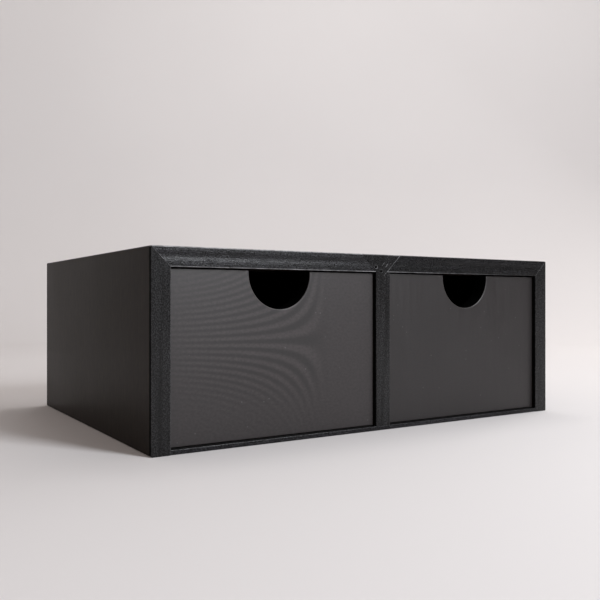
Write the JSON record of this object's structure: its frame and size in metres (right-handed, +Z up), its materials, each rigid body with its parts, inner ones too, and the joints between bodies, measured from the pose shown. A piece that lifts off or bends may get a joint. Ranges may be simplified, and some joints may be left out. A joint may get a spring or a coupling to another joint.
{
  "type": "desktop drawer box",
  "caption": "Low black wooden desk box with side-by-side drawers that slide out, half-round finger notches and a mitred front frame.",
  "frame": {"origin": "under the middle of the box, on the surface it stands on", "axes": "+X along the front to the right, +Y from the front to the back, +Z up"},
  "size_m": [0.333, 0.243, 0.12],
  "materials": {
    "black_board": "matt black stain",
    "thin_black_board": "matt black",
    "black_strip": "satin black stain, open grain",
    "charcoal_front": "smooth satin charcoal",
    "drawer_board": "matt black",
    "bare_beech": "bare",
    "steel": "plain"
  },
  "bodies": {
    "carcass": {"left_side_panel": "black_board", "right_side_panel": "black_board", "top_panel": "black_board", "bottom_panel": "thin_black_board", "back_panel": "thin_black_board", "divider_panel": "black_board", "left_lipping": "black_strip", "right_lipping": "black_strip", "top_left_lipping": "black_strip", "top_right_lipping": "black_strip", "divider_lipping": "black_strip", "bottom_lipping": "black_strip", "left_mitre_spline": "bare_beech", "right_mitre_spline": "bare_beech", "divider_dowels": "bare_beech", "divider_screws": "steel", "bottom_pins": "steel", "back_pins": "steel", "key_pins": "steel"},
    "left_drawer": {"left_drawer_front": "charcoal_front", "left_drawer_left_side": "drawer_board", "left_drawer_right_side": "drawer_board", "left_drawer_back": "drawer_board", "left_drawer_bottom": "thin_black_board", "left_drawer_pins": "steel"},
    "right_drawer": {"right_drawer_front": "charcoal_front", "right_drawer_left_side": "drawer_board", "right_drawer_right_side": "drawer_board", "right_drawer_back": "drawer_board", "right_drawer_bottom": "thin_black_board", "right_drawer_pins": "steel"}
  },
  "joints": [
    {"name": "left_drawer_slide", "type": "slide", "parent": "carcass", "child": "left_drawer", "axis": [0, -1, 0], "range_m": [0, 0.197]},
    {"name": "right_drawer_slide", "type": "slide", "parent": "carcass", "child": "right_drawer", "axis": [0, -1, 0], "range_m": [0, 0.197]}
  ]
}
